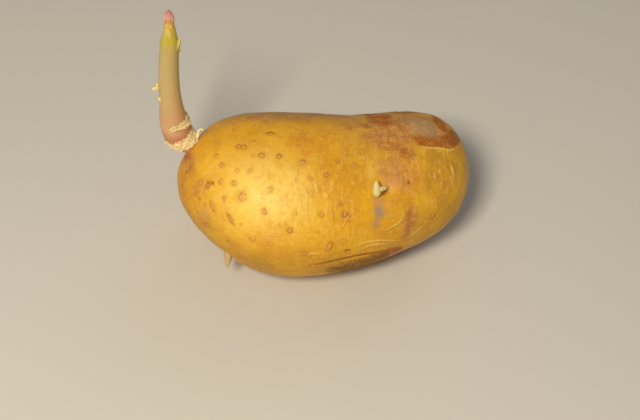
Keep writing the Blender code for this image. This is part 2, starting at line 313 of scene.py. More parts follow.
# %% Round pores: pixel, width in millimetres and tone, 1 for a clear one and less for a faint one
ROUND_PORES = (
    (234.8, 130.0, 1.4, 0.7), (238.7, 146.3, 1.7, 1.2), (243.6, 146.9, 1.8, 1.1),
    (215.9, 156.0, 1.7, 0.8), (222.0, 164.7, 1.6, 0.9), (261.8, 155.0, 2.0, 1.1),
    (253.2, 155.0, 1.3, 0.5), (279.2, 156.2, 1.6, 1.2), (237.3, 170.3, 1.7, 0.5),
    (249.6, 170.8, 1.6, 0.6), (220.5, 181.6, 1.7, 0.8), (233.8, 183.1, 1.8, 0.8),
    (200.1, 182.2, 1.9, 0.8), (196.5, 193.3, 1.7, 0.7), (199.1, 199.0, 1.1, 0.8),
    (224.2, 198.3, 1.5, 0.8), (242.0, 197.0, 2.8, 0.8), (270.0, 189.7, 2.2, 0.6),
    (264.1, 211.7, 2.0, 1.0), (302.7, 162.1, 1.9, 0.8), (302.7, 135.1, 1.7, 0.6),
    (262.3, 117.8, 1.3, 0.6), (266.4, 120.5, 1.3, 0.6), (241.9, 120.3, 1.2, 0.6),
    (253.7, 140.7, 1.0, 1.0), (298.6, 145.3, 1.2, 0.7), (326.6, 174.6, 1.6, 1.0),
    (290.2, 230.8, 1.8, 1.0), (295.3, 213.2, 1.5, 0.5), (322.3, 214.4, 1.6, 0.8),
    (207.2, 225.5, 1.8, 1.0), (202.6, 222.6, 1.2, 0.7), (227.4, 240.0, 1.6, 0.6),
    (252.4, 239.6, 2.0, 0.8), (270.8, 244.0, 1.8, 0.4), (241.2, 257.3, 1.7, 0.7),
    (304.0, 254.3, 1.9, 0.8), (360.8, 150.9, 1.8, 0.6), (337.9, 161.0, 1.3, 1.3),
    (354.2, 165.3, 1.6, 0.7), (345.2, 214.4, 1.9, 1.3), (432.8, 216.4, 1.9, 1.1),
    (448.8, 183.7, 1.6, 0.7), (433.4, 181.4, 1.2, 0.6), (448.6, 208.0, 1.3, 0.9),
    (402.0, 237.4, 1.5, 0.8), (348.5, 252.6, 1.7, 0.9), (325.0, 137.6, 1.2, 0.6),
    (240.9, 224.6, 1.1, 0.5), (185.3, 178.5, 1.2, 0.8), (181.8, 186.0, 1.2, 0.8),
    (189.4, 210.4, 1.3, 0.8), (192.4, 157.0, 1.2, 0.8), (185.6, 153.4, 1.1, 0.8),
    (311.0, 178.8, 1.5, 0.7), (279.6, 225.2, 1.0, 0.5), (318.5, 232.0, 1.1, 0.5),
    (376.8, 205.0, 1.1, 0.4), (419.5, 193.0, 1.1, 0.5), (312.4, 196.2, 1.1, 0.4),
    (189.0, 150.8, 0.9, 0.7), (183.7, 160.5, 1.0, 0.7), (204.9, 205.0, 1.2, 0.6),
    (193.0, 172.0, 1.0, 0.6), (188.6, 199.4, 1.0, 0.7), (197.6, 211.4, 1.0, 0.6),
    (192.8, 187.0, 0.9, 0.6), (213.2, 147.4, 0.9, 0.5),
)
# Long pores and short grooves: pixel, width and length in millimetres, tilt of the length in
# degrees, tone
LONG_PORES = (
    (271.2, 133.8, 1.6, 2.4, 0, 0.75), (212.0, 206.6, 1.5, 3.4, 108, 1.1),
    (230.6, 219.4, 1.3, 3.8, 128, 1.1), (329.8, 246.6, 1.9, 3.4, 75, 1.0),
    (313.7, 266.0, 1.5, 3.0, 8, 0.8), (187.6, 168.4, 1.4, 3.0, 60, 1.1),
    (207.8, 184.8, 1.4, 2.6, 40, 1.0),
)

# %% Folds that catch the light, as short routes of pixels
PALE_FOLDS = (
    (
        (381.2, 231.8), (387.0, 229.6), (392.4, 226.6), (397.4, 224.0), (400.6, 220.8), (404.0, 214.0),
        (404.6, 209.2),
    ),
    ((355.7, 247.6), (361.6, 243.8), (369.0, 241.4), (381.2, 240.2), (394.0, 240.6), (406.7, 239.4)),
    ((406.7, 238.6), (412.6, 234.6), (418.4, 229.6), (423.0, 227.2)),
    ((359.8, 250.6), (366.0, 247.0), (373.0, 244.8), (383.0, 243.6), (392.0, 244.2)),
    ((349.2, 215.0), (346.6, 219.0), (344.2, 223.4), (341.6, 228.0)),
    (
        (419.0, 145.4), (425.0, 147.4), (434.0, 148.0), (444.0, 149.2), (450.0, 150.4), (455.6, 148.6),
        (460.0, 143.4),
    ),
    ((434.6, 115.6), (440.6, 119.0), (446.0, 123.4), (450.6, 128.8)),
    ((307.5, 254.2), (313.0, 253.6), (320.8, 253.8)),
)
FAINT_FOLDS = (
    ((338.4, 126.9), (343.0, 126.9), (349.6, 126.4)),
    ((343.6, 147.2), (346.4, 150.0)),
    ((441.6, 200.0), (438.0, 204.4), (435.3, 209.4)),
    ((362.0, 236.6), (369.0, 234.4), (377.0, 233.6), (382.0, 232.4)),
    ((268.0, 228.4), (278.0, 227.2), (287.0, 226.6), (296.0, 227.6)),
    ((266.4, 234.6), (276.0, 235.4), (286.4, 234.4)),
    ((292.0, 231.8), (300.0, 232.4), (310.0, 231.0), (318.0, 231.6)),
    ((302.0, 238.6), (314.0, 238.0), (326.0, 236.0), (337.6, 232.6)),
    ((413.4, 136.6), (414.2, 142.0), (415.8, 149.6)),
    ((456.0, 137.6), (458.0, 146.0), (459.0, 155.4)),
    ((421.4, 156.0), (420.2, 162.0), (420.8, 167.0)),
    ((441.0, 170.0), (443.4, 180.0), (442.0, 191.0)),
    ((451.4, 160.0), (453.6, 169.0), (453.4, 181.0)),
    ((427.0, 176.0), (428.0, 184.0), (426.8, 190.0)),
    ((372.0, 164.0), (373.4, 170.0), (374.0, 176.0)),
    ((414.0, 236.0), (424.0, 226.0), (434.0, 214.0), (442.0, 202.0)),
    ((356.0, 226.0), (366.0, 224.0), (374.0, 226.6), (382.0, 226.0)),
    ((185.4, 152.0), (186.2, 155.6), (187.0, 160.6)),
    ((190.2, 154.4), (192.8, 158.6), (195.8, 163.4)),
    ((182.6, 158.0), (182.8, 162.4), (182.4, 167.0)),
)
# Dark cracks and creases, the same way
DARK_CREASES = (
    (
        (309.0, 266.6), (320.0, 264.2), (332.0, 261.6), (343.5, 259.2), (360.8, 255.3), (381.2, 252.0),
        (399.6, 248.8),
    ),
    ((387.4, 189.8), (385.4, 192.4), (383.0, 195.2)),
    ((409.8, 180.4), (408.8, 184.2)),
    ((206.0, 180.4), (208.4, 184.0), (207.0, 187.6)),
    ((210.6, 181.4), (213.6, 184.6)),
    ((184.6, 172.2), (188.6, 168.4), (191.0, 166.0)),
    ((344.0, 251.4), (351.6, 250.6)),
    ((266.0, 133.2), (270.4, 131.6), (275.0, 132.4)),
)

# %% Stains, worn patches, a painted highlight and painted shade along the edges: pixel, half width and half height in pixels, tilt in degrees, strength
# Russet haze of the skin. The long thin patches on the top edge and the left edge are painted shade
HAZE_AND_EDGE_SHADE_PATCHES = (
    (398, 124, 42, 17, -6, 1.15), (392, 136, 28, 20, -20, 1.0), (440, 136, 24, 13, -14, 1.0),
    (388, 146, 22, 12, -30, 0.6), (362, 124, 26, 13, 0, 0.62), (362, 140, 14, 14, 0, 0.3),
    (402, 168, 26, 20, -50, 0.62), (409, 222, 7, 18, -8, 0.95), (341, 205, 7, 5, 0, 0.5),
    (391, 252, 24, 5, 12, 0.9), (346, 213, 8, 8, 0, 0.5), (197, 190, 9, 14, 10, 0.4),
    (190, 165, 7, 16, 20, 0.5), (206, 222, 8, 9, 0, 0.5), (240, 252, 16, 7, -18, 0.35),
    (325, 113, 44, 6, 0, 0.7), (270, 116, 50, 8, 0, 0.75), (188, 158, 9, 8, 0, 0.9),
    (206, 134, 9, 5, 30, 0.5), (446, 178, 12, 26, 0, 0.35), (183.6, 190, 4, 34, 4, 0.55),
    (404, 152, 16, 10, -24, 0.85), (232, 122, 20, 5, 25, 0.6),
)
RUSSET_PATCHES = (
    (381, 119, 13, 9, -6, 1.0), (364, 126, 9, 4, 0, 0.6), (398, 113, 18, 4, -2, 0.5),
    (368, 114, 13, 4, 0, 0.85), (434, 141.5, 24, 6.5, -3, 1.3), (452, 139, 10, 9, -30, 1.3),
    (440, 124, 14, 5, -58, 1.1), (405, 152, 15, 6, -28, 0.66), (390, 145, 15, 5, -24, 0.58),
    (388, 168, 8, 12, -30, 0.35), (408.6, 218, 4.0, 9, -8, 0.62), (407, 230, 3.4, 6, 0, 0.5),
    (393, 250, 11, 3, 12, 1.0), (341, 205, 4, 3, 0, 0.5), (187, 157, 5, 5, 0, 0.55),
    (384, 173, 5, 5, 0, 0.5),
)
SCAB_PATCHES = (
    (423, 127, 16, 9.5, -32, 1.2), (405, 119, 12, 6.5, -14, 0.85), (392, 113, 10, 3, 0, 0.4),
)
BRUISE_PATCHES = (
    (378.6, 211.0, 5.0, 8.6, 4, 1.0), (377.2, 221.6, 4.4, 5.6, 0, 0.7),
    (386.0, 213.0, 4.6, 6.0, 0, 0.42),
)
PINK_PATCHES = (
    (387, 209, 7, 8, 0, 0.62), (394, 172, 20, 16, -30, 0.9), (376, 224, 6, 6, 0, 0.55),
    (381, 203, 6, 5, 0, 0.7), (185, 160, 6, 12, 10, 0.6), (200, 186, 8, 12, 0, 0.55),
    (204, 214, 9, 12, 0, 0.5), (384, 258, 20, 5, 14, 0.4), (265, 119, 12, 5, 0, 0.5),
    (325, 116, 14, 5, 0, 0.3), (302, 162, 6, 5, 0, 0.4), (404, 136, 14, 8, 0, 0.5),
)
# Dust by the crease at the bottom, darker than dust alone so that it also stands for shade there. The
# two thin patches on the top edge are painted shade
DUST_AND_EDGE_SHADE_PATCHES = (
    (358, 265, 26, 7, 12, 1.2), (378, 257, 14, 5, 14, 1.0), (336, 269, 12, 4, 8, 0.9),
    (330, 110, 26, 4, 0, 0.4), (408, 111, 20, 4, 0, 0.7),
)
ORANGE_PATCHES = (
    (318, 140, 34, 24, -12, 0.9), (332, 178, 16, 26, 10, 0.5), (205, 140, 22, 12, 30, 0.5),
    (345, 218, 15, 18, 0, 0.75), (288, 250, 34, 12, -6, 0.55), (395, 190, 26, 34, 0, 0.45),
    (440, 170, 20, 26, 0, 0.3), (262, 124, 30, 10, 0, 0.4), (356, 176, 16, 24, 0, 0.3),
    (372, 262, 40, 8, 12, 1.0), (190, 200, 12, 30, 12, 0.45),
)
# A painted highlight: paler colour where the key light's shine falls on the left half, and a small one
# above the front bud
PAINTED_HIGHLIGHT_PATCHES = (
    (264, 194, 42, 36, -10, 1.0), (228, 172, 24, 20, 0, 0.4), (330, 234, 40, 12, -4, 0.04),
    (371.5, 171, 4.5, 9, -15, 0.45),
)
# Faded skin at the right end. The long thin patches on the top and bottom edges and the one low at the
# left are painted shade
FADED_AND_EDGE_SHADE_PATCHES = (
    (440, 172, 19, 38, 0, 1.0), (434, 154, 22, 10, 0, 1.0), (428, 218, 26, 20, -30, 0.7),
    (356, 158, 14, 22, 0, 0.5), (300, 113, 80, 7, 0, 1.0), (300, 264, 74, 10, 0, 0.9),
    (212, 238, 14, 22, 40, 0.8), (360, 112, 30, 5, 0, 0.7),
)
WRINKLED_PATCHES = (
    (312, 190, 30, 34, 0, 1.0), (340, 200, 24, 40, 0, 0.9), (398, 172, 24, 26, 0, 1.0),
    (446, 176, 20, 36, 0, 1.2), (384, 240, 34, 12, 12, 0.55), (296, 228, 26, 12, 0, 0.5),
    (360, 170, 22, 30, 0, 0.5),
)
# The russet end stops short at a pale lip. Below this route of pixels no stain of that end goes
RUSSET_LIP = (
    (414.0, 140.0), (421.0, 146.0), (430.0, 147.4), (440.0, 148.0), (449.0, 149.6), (455.0, 148.0),
    (461.0, 142.0),
)

# %% [markdown]
# ## From marks to fields
# A field is one number at each point of the skin. A pore's field is the distance to the nearest
# pore's middle, counted in pore radii, so a shader can draw a sharp rim at 1. A stain's field is a
# soft hill that the shader breaks up with noise. The same fields also move the points, so what
# looks raised is raised.

# %% Distance to the nearest pore, in radii
FAR = 3.0


def pore_distance(place, normal, width, length, tilt):
    """Distance of every skin point from a pore's middle, in radii, for a pore longer one way."""
    axis, _ = picture_axes(tilt)
    axis = (axis - normal * axis.dot(normal)).normalized()
    offset = skin_points - np.array(place)
    along = offset @ np.array(axis)
    across = np.maximum(np.sum(offset * offset, axis=1) - along * along, 0.0)
    return np.sqrt(across / (width / 2) ** 2 + along * along / (length / 2) ** 2)


# %% Pores that are seen, and more of them dealt out on the hidden side
HIDDEN_PORES = 95
HIDDEN_FACING = 0.12
HIDDEN_ABOVE = 1.0
HIDDEN_WIDTHS = (1.1, 2.2)
HIDDEN_STRETCHES = (1.0, 1.0, 1.5)
HIDDEN_TONES = (0.4, 1.3)
PORE_SPACING = 5.6
SPACING_SPREAD = (0.5, 1.3)

pore_marks = [(*seen_at(px, py), width, width, 0, tone) for px, py, width, tone in ROUND_PORES]
pore_marks += [(*seen_at(px, py), *sizes) for px, py, *sizes in LONG_PORES]
draw = random.Random(HIDDEN_SEED)
hidden = [
    n for n in range(len(skin_points)) if facing[n] < HIDDEN_FACING and skin_points[n][2] > HIDDEN_ABOVE
]
while len(pore_marks) < len(ROUND_PORES) + len(LONG_PORES) + HIDDEN_PORES:
    n = draw.choice(hidden)
    place, normal = Vector(skin_points[n]), Vector(skin_normals[n])
    spacing = PORE_SPACING * draw.uniform(*SPACING_SPREAD)
    if min((place - mark[0]).length for mark in pore_marks) > spacing:
        width = draw.uniform(*HIDDEN_WIDTHS)
        length = width * draw.choice(HIDDEN_STRETCHES)
        tilt = draw.uniform(0, 180)
        pore_marks.append((place, normal, width, length, tilt, draw.uniform(*HIDDEN_TONES)))

pore = np.full(len(skin_points), FAR)
pore_tone = np.zeros(len(skin_points))
for *shape, tone in pore_marks:
    distance = pore_distance(*shape)
    pore_tone = np.where(distance < pore, tone, pore_tone)
    pore = np.minimum(pore, distance)
print("pores:", len(pore_marks), "of which dealt out on the hidden side:", HIDDEN_PORES)

# %% Closeness to a set of routes
def route_closeness(routes, width):
    """A ridge along each route, full in its middle, that tapers to its ends."""
    closeness = np.zeros(len(skin_points))
    for route in routes:
        spots = [np.array(spot) for spot in route]
        for n, (start, end) in enumerate(zip(spots, spots[1:])):
            run = end - start
            share = np.clip((skin_points - start) @ run / (run @ run), 0.0, 1.0)
            gap = np.linalg.norm(skin_points - start - share[:, None] * run, axis=1)
            fullness = np.sqrt(np.sin(np.pi * np.clip((n + share) / (len(spots) - 1), 0.02, 0.98)))
            closeness = np.maximum(closeness, fullness * np.exp(-((gap / width) ** 2)))
    return closeness


FOLD_WIDTH = 0.40
CREASE_WIDTH = 0.52
FAINT = 0.5
seen_folds = [[seen_at(*pixel)[0] for pixel in route] for route in PALE_FOLDS]
faint_folds = [[seen_at(*pixel)[0] for pixel in route] for route in FAINT_FOLDS]
seen_creases = [[seen_at(*pixel)[0] for pixel in route] for route in DARK_CREASES]
faint_fold = FAINT * route_closeness(faint_folds, FOLD_WIDTH)
fold = np.maximum(route_closeness(seen_folds, FOLD_WIDTH), faint_fold)
crease = route_closeness(seen_creases, CREASE_WIDTH)
print("folds:", len(seen_folds) + len(faint_folds), "and cracks:", len(seen_creases))

# %% Soft hills for stains
PATCH_DEPTH = 12.0
HILL_SLOPE, HILL_FLATNESS = 0.7, 1.3
BLOTCH_BLUR = 0.3
AWAY_FROM, AWAY_BLUR = 0.15, 0.3


def patch_field(patches):
    """Soft hills at patches given in pixels. They fade with depth, so they stay on the near side."""
    field = np.zeros(len(skin_points))
    for px, py, half_wide, half_tall, tilt, strength in patches:
        place, _ = seen_at(px, py)
        offset = skin_points - np.array(place)
        wide_axis, tall_axis = (np.array(axis) for axis in picture_axes(tilt))
        wide = offset @ wide_axis / (half_wide * PIXEL_MM)
        tall = offset @ tall_axis / (half_tall * PIXEL_MM)
        deep = offset @ np.array(PICTURE_AWAY) / PATCH_DEPTH
        hill = np.exp(-HILL_SLOPE * (wide**2 + tall**2) ** HILL_FLATNESS - deep**2)
        field = np.maximum(field, strength * hill)
    return field


def hidden_blotches(size_mm, threshold, seed):
    """Blotches of noise on the side that the picture hides."""
    shift = Vector((seed * 37.0, seed * 11.0, seed * 23.0))
    level = np.array([noise.noise(Vector(p) / size_mm + shift) for p in skin_points])
    away = np.clip((AWAY_FROM - facing) / AWAY_BLUR, 0.0, 1.0)
    return np.clip((level - threshold) / BLOTCH_BLUR, 0.0, 1.0) * away


# %% All fields of the skin
LIP_BLUR, LIP_SIDE, LIP_REACH, LIP_FADE = 1.6, 10.0, 30.0, 20.0
# Patches that are seen, then strength, size in millimetres, threshold and seed of the hidden ones
STAINS = {
    "haze_and_edge_shade": (HAZE_AND_EDGE_SHADE_PATCHES, 0.9, 19.0, 0.02, 7),
    "russet": (RUSSET_PATCHES, 0.9, 17.0, 0.16, 1),
    "scab": (SCAB_PATCHES, 0.5, 12.0, 0.34, 2),
    "pink": (PINK_PATCHES, 0.55, 14.0, 0.15, 3),
    "dust_and_edge_shade": (DUST_AND_EDGE_SHADE_PATCHES, 0.32, 20.0, 0.1, 4),
    "orange": (ORANGE_PATCHES, 0.9, 24.0, -0.05, 5),
    "faded": (FADED_AND_EDGE_SHADE_PATCHES, 0.8, 21.0, 0.0, 8),
    "wrinkled": (WRINKLED_PATCHES, 0.9, 26.0, -0.1, 6),
}

lip_x, lip_y = zip(*RUSSET_LIP)
past_lip = skin_py - np.interp(skin_px, lip_x, lip_y)
below_lip = np.clip(past_lip / LIP_BLUR + 0.5, 0.0, 1.0)
below_lip *= np.clip((LIP_REACH - past_lip) / LIP_FADE, 0.0, 1.0)
below_lip *= np.clip((skin_px - lip_x[0]) / LIP_SIDE, 0.0, 1.0) * (facing > 0.0)
fields = {"pore": pore, "pore_tone": pore_tone, "fold": fold, "crease": crease}
fields["bruise"] = patch_field(BRUISE_PATCHES)
# The pale field is a painted highlight
fields["pale"] = patch_field(PAINTED_HIGHLIGHT_PATCHES)
for name, (patches, strength, *blotches) in STAINS.items():
    fields[name] = np.maximum(patch_field(patches), strength * hidden_blotches(*blotches))
for name in ("haze_and_edge_shade", "russet"):
    fields[name] *= 1.0 - below_lip
print("fields:", ", ".join(sorted(fields)))

# %% [markdown]
# ## Carve the skin
# Heights are in tenths of a millimetre. A pore is a corky button in a shallow moat. Folds stand up,
# cracks sink in, and where the skin has dried it buckles into fine ridges that run round the tuber.

# %% Move the points along their normals
BUTTON_HEIGHT, BUTTON_REACH = 0.13, 0.6
MOAT_DEPTH, MOAT_MIDDLE, MOAT_REACH = 0.10, 1.05, 0.4
FOLD_HEIGHT = 0.15
CREASE_DEPTH = 0.30
RIDGE_HEIGHT, RIDGE_SPACING = 0.12, Vector((1.5, 7.0, 7.0))
DENT_HEIGHT, DENT_SPACING = 0.16, 5.5


def keep_field(mesh, name, values):
    """Keeps a number for each point of a mesh, for its material to read."""
    attribute = mesh.attributes.new(name, "FLOAT", "POINT")
    attribute.data.foreach_set("value", values.astype(np.float32))


ridges = np.array(
    [noise.noise(Vector(c / s for c, s in zip(p, RIDGE_SPACING))) for p in skin_points]
)
dents = np.array([noise.noise(Vector(p) / DENT_SPACING) for p in skin_points])
height = (
    BUTTON_HEIGHT * pore_tone * np.exp(-((pore / BUTTON_REACH) ** 2))
    - MOAT_DEPTH * pore_tone * np.exp(-(((pore - MOAT_MIDDLE) / MOAT_REACH) ** 2))
    + FOLD_HEIGHT * fold
    - CREASE_DEPTH * crease
    + RIDGE_HEIGHT * ridges * fields["wrinkled"]
    + DENT_HEIGHT * dents
)
carved = skin_points + skin_normals * height[:, None]
low, high = (np.array(corner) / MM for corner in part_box("tuber"))
carved = np.clip(carved, low, high)
skin.data.vertices.foreach_set("co", (carved * MM).ravel())
for name, field in fields.items():
    keep_field(skin.data, name, field)
skin.data.update()
print("carving, in millimetres:", round(height.min(), 2), "to", round(height.max(), 2))

# %% [markdown]
# ## Skin material: cork over yellow flesh
# A potato's skin is a thin layer of cork cells, slightly waxy, that lets the yellow flesh show
# through. Where it has been rubbed or dried it turns russet and dull. The colour is laid on in
# layers: gold, then orange depth and a painted highlight, streaks along the ridges with painted
# highlight on their crests and painted shade between them, then stains, some of which also paint
# shade along the edges, and the pores last.

# %% Grains of the cork and the fields, as values for the shader
# Cork cells are some 0.03 mm wide, too fine to show, so the finest grain is drawn at 0.45 mm.
# Each grain has a size in millimetres, detail, roughness and a shift that sets it apart
GRAINS = {
    "broad": (13.0, 2.0, 0.55, 0.0),
    "olive": (7.0, 3.0, 0.55, 0.45),
    "medium": (4.2, 3.0, 0.55, 0.3),
    "ragged": (4.0, 7.0, 0.74, 0.95),
    "patchy": (3.4, 2.0, 0.55, 0.61),
    "blotch": (2.4, 4.0, 0.6, 0.9),
    "fine": (1.1, 3.0, 0.6, 0.7),
    "rim": (1.0, 2.0, 0.55, 0.35),
    "fleck": (0.9, 1.0, 0.5, 0.83),
    "speckle": (0.8, 4.0, 0.65, 0.5),
    "cells": (0.45, 3.0, 0.6, 0.2),
}
skin_cork, cork_shader = new_material("potato_cork_skin")
skin_place = add(skin_cork, "TexCoord").outputs["Object"]
marks = {name: add(skin_cork, "Attribute", attribute_name=name).outputs["Fac"] for name in fields}
for name, (size_mm, detail, roughness, shift) in GRAINS.items():
    place = add(skin_cork, "Mapping", {"Vector": skin_place, "Location": (shift,) * 3})
    settings = {"Scale": 1 / (size_mm * MM), "Detail": detail, "Roughness": roughness}
    marks[name] = add(skin_cork, "TexNoise", {"Vector": place, **settings})
print("grains:", len(GRAINS), "and fields:", len(fields))

# %% Coats of colour, each as thick as the product of its steps
def thickness(*steps):
    """Product of steps: a mark, or a mark with the start, the end and the top of a smooth rise."""
    product = None
    for step in steps:
        mark, *rise = step if isinstance(step, tuple) else (step,)
        level = marks[mark] if isinstance(mark, str) else mark
        if rise:
            ends = dict(zip(("From Min", "From Max", "To Max"), rise))
            level = add(
                skin_cork, "MapRange", {"Value": level, **ends}, interpolation_type="SMOOTHSTEP"
            )
        if product is None:
            product = level
        else:
            product = add(skin_cork, "Math", {0: product, 1: level}, operation="MULTIPLY")
    return product


def coats(ground, *rows):
    """Lays coats over a ground. Each is a colour and then the steps of its thickness."""
    for colour, *steps in rows:
        over = linear(colour) if isinstance(colour, str) else colour
        ground = add(
            skin_cork, "MixRGB", {"Fac": thickness(*steps), "Color1": ground, "Color2": over}
        )
    return ground


def broken(mark, grain, spread):
    """A mark whose edge is broken up by a grain."""
    centred = add(skin_cork, "Math", {0: marks[grain], 1: 0.5}, operation="SUBTRACT")
    return add(skin_cork, "Math", {0: centred, 1: spread, 2: marks[mark]}, operation="MULTIPLY_ADD")


# %% Gold ground with orange depth, a painted highlight and painted shade along the edges
colour = coats(
    linear("#DCA622"),
    ("#CA8E1A", ("broad", 0.42, 0.66, 0.7)),
    # The pale coat is a painted highlight
    ("#F8D66E", "pale", ("medium", 0.0, 0.6, 0.85)),
    ("#CE8412", "orange", ("medium", 0.3, 0.65, 0.85)),
    ("#B28C28", ("olive", 0.52, 0.74, 0.25)),
    # This coat is partly faded skin and partly painted shade along the top and bottom edges
    ("#AA7E28", "faded", ("broad", 0.2, 0.6, 0.75)),
    ("#C88616", ("medium", 0.50, 0.72, 0.38)),
    ("#B67616", ("fine", 0.52, 0.78, 0.30)),
    ("#F2CC64", ("fine", 0.48, 0.24, 0.30)),
)
print("nodes for the ground:", len(skin_cork.node_tree.nodes))

# %% Streaks along the fine ridges, bent out of line so that they don't look combed
WARP_SIZE, WARP_MM = 4.0, 1.4
RIDGE_SIZE, RIDGE_SQUEEZE, RIDGE_SHIFT = 0.75, 0.24, 0.11
MESH_SIZE = 1.3

warp = add(skin_cork, "TexNoise", {"Vector": skin_place, "Scale": 1 / (WARP_SIZE * MM), "Detail": 2.0})
centred = add(skin_cork, "VectorMath", {0: warp.outputs["Color"], 1: (0.5,) * 3}, operation="SUBTRACT")
bend = {0: centred, 1: (WARP_MM * MM,) * 3, 2: skin_place}
bent_place = add(skin_cork, "VectorMath", bend, operation="MULTIPLY_ADD")
squeeze = {"Scale": (1.0, RIDGE_SQUEEZE, RIDGE_SQUEEZE), "Location": (RIDGE_SHIFT,) * 3}
along_girth = add(skin_cork, "Mapping", {"Vector": bent_place, **squeeze})
marks["ridge"] = add(
    skin_cork, "TexNoise", {"Vector": along_girth, "Scale": 1 / (RIDGE_SIZE * MM), "Detail": 2.0}
)
marks["streaked"] = thickness("wrinkled", ("patchy", 0.34, 0.62, 1.0))
mesh_edge = add(
    skin_cork,
    "TexVoronoi",
    {"Vector": bent_place, "Scale": 1 / (MESH_SIZE * MM), "Randomness": 1.0},
    feature="DISTANCE_TO_EDGE",
).outputs["Distance"]
marks["crazing"] = thickness((mesh_edge, 0.12, 0.0, 1.0), ("medium", 0.35, 0.6, 1.0))
colour = coats(
    colour,
    # Paler on the ridge crests as a painted highlight and darker between them as painted shade
    ("#F2CC74", "streaked", ("ridge", 0.53, 0.69, 0.52)),
    ("#B4721A", "streaked", ("ridge", 0.47, 0.32, 0.46)),
    ("#F4D480", "crazing", 0.14),
)
print("nodes with the streaks:", len(skin_cork.node_tree.nodes))

# %% Stains: pink, haze, russet, scab, bruise and dust; haze and dust also lay painted shade along the edges
# Each has a grain that breaks it up, by how much, and the start, end and top of its rise
BROKEN_STAINS = {
    "pink": ("blotch", 1.7, 0.12, 1.0, 0.66),
    "haze_and_edge_shade": ("ragged", 1.6, 0.06, 1.0, 0.92),
    "russet": ("ragged", 1.9, 0.22, 1.0, 0.85),
    "scab": ("ragged", 1.8, 0.25, 0.95, 0.85),
    "bruise": ("blotch", 0.9, 0.05, 1.10, 0.66),
    "dust_and_edge_shade": ("speckle", 1.8, 0.25, 0.95, 0.85),
}
stain = {
    name: thickness((broken(name, grain, spread), *rise))
    for name, (grain, spread, *rise) in BROKEN_STAINS.items()
}
haze_and_edge_shade_colour = coats(
    linear("#BC7A30"),
    ("#CE9644", ("speckle", 0.45, 0.6, 0.7)),
    ("#A66C3A", ("medium", 0.42, 0.6, 0.7)),
    ("#D6A058", ("blotch", 0.50, 0.62, 0.65)),
    # Paler on the ridge crests and darker between them: painted highlight and painted shade
    ("#D8A462", ("ridge", 0.54, 0.70, 0.34)),
    ("#94602C", ("ridge", 0.46, 0.32, 0.30)),
)
russet_colour = coats(
    linear("#A45A18"),
    ("#8A4814", ("speckle", 0.42, 0.60, 1.0)),
    ("#B8782E", ("fine", 0.50, 0.64, 0.6)),
    ("#BE7C34", ("blotch", 0.52, 0.64, 0.5)),
)
scab_colour = coats(
    linear("#B08E60"),
    ("#94704C", ("speckle", 0.45, 0.62, 0.6)),
    ("#B89A70", ("blotch", 0.5, 0.62, 0.6)),
)
# Dust colour, darkened so that it also paints shade at the bottom
dust_and_edge_shade_colour = coats(linear("#7A4E1C"), ("#B48A4A", ("fine", 0.50, 0.62, 0.75)))
colour = coats(
    colour,
    ("#C48C5A", stain["pink"]),
    (haze_and_edge_shade_colour, stain["haze_and_edge_shade"]),
    (russet_colour, stain["russet"]),
    (scab_colour, stain["scab"]),
    ("#888076", stain["bruise"]),
    (dust_and_edge_shade_colour, stain["dust_and_edge_shade"]),
    ("#8A5218", ("fleck", 0.77, 0.82, 0.6)),
)
print("stains:", ", ".join(stain))

# %% Folds, cracks and pores
fold_line = thickness("fold", ("fine", 0.1, 0.55, 1.0))
ragged_crease = broken("crease", "speckle", 0.6)
ragged_pore = broken("pore", "fine", 1.0)
moat = thickness(
    (ragged_pore, 0.45, 0.85, 1.0), (ragged_pore, 1.35, 0.95, 1.0), "pore_tone", ("rim", 0.30, 0.56, 1.0)
)
button = thickness((ragged_pore, 0.85, 0.4, 1.0), "pore_tone")
colour = coats(
    colour,
    # Darker at both sides of a fold: painted shade. The pale line on the fold is partly its own paler
    # skin and partly painted highlight
    ("#AE701A", (fold_line, 0.03, 0.15, 0.16), (fold_line, 0.5, 0.2, 1.0)),
    ("#F4D27C", (fold_line, 0.2, 1.0, 0.6)),
    ("#B06A20", ("crease", 0.02, 0.5, 0.5)),
    ("#7E4614", (ragged_crease, 0.35, 1.0, 0.75)),
    ("#C98418", (ragged_pore, 2.4, 0.8, 0.30), "pore_tone"),
    ("#AA6A22", moat, 0.60),
    ("#CC985A", button, 0.72),
)
print("nodes with folds, cracks and pores:", len(skin_cork.node_tree.nodes))

# %% Sheen of the skin and its fine relief
SHEEN_WAXY, SHEEN_DULL, SHEEN_SPREAD = 0.38, 0.70, 0.16
RIDGE_LEAST = 0.15

dull = stain["russet"]
for name in ("scab", "dust_and_edge_shade"):
    dull = add(skin_cork, "Math", {0: dull, 1: stain[name]}, operation="MAXIMUM")
marks["sheen"] = add(skin_cork, "MapRange", {"Value": dull, "To Min": SHEEN_WAXY, "To Max": SHEEN_DULL})
ridged = add(skin_cork, "Math", {0: marks["streaked"], 1: RIDGE_LEAST}, operation="ADD")
# Height in millimetres of each form, below zero where it sinks in
RELIEF = (
    (0.045, "cells"),
    (0.16, "ridge", ridged),
    (0.045, "crazing"),
    (0.10, button),
    (-0.06, moat),
    (0.12, fold_line),
    (-0.16, "crease"),
    (0.14, dull, "speckle"),
)
relief = 0.0
for height_mm, *steps in RELIEF:
    rows = {0: thickness(*steps), 1: height_mm, 2: relief}
    relief = add(skin_cork, "Math", rows, operation="MULTIPLY_ADD")
bump = add(skin_cork, "Bump", {"Height": relief, "Distance": MM, "Strength": 1.0})
feed(
    skin_cork,
    cork_shader,
    {
        "Base Color": colour,
        "Roughness": broken("sheen", "fine", SHEEN_SPREAD),
        "Normal": bump,
        "IOR": 1.45,
        "Specular IOR Level": 0.18,
        "Subsurface Weight": 0.08,
        "Subsurface Radius": (1.0, 0.5, 0.15),
        "Subsurface Scale": 2.0 * MM,
    },
)

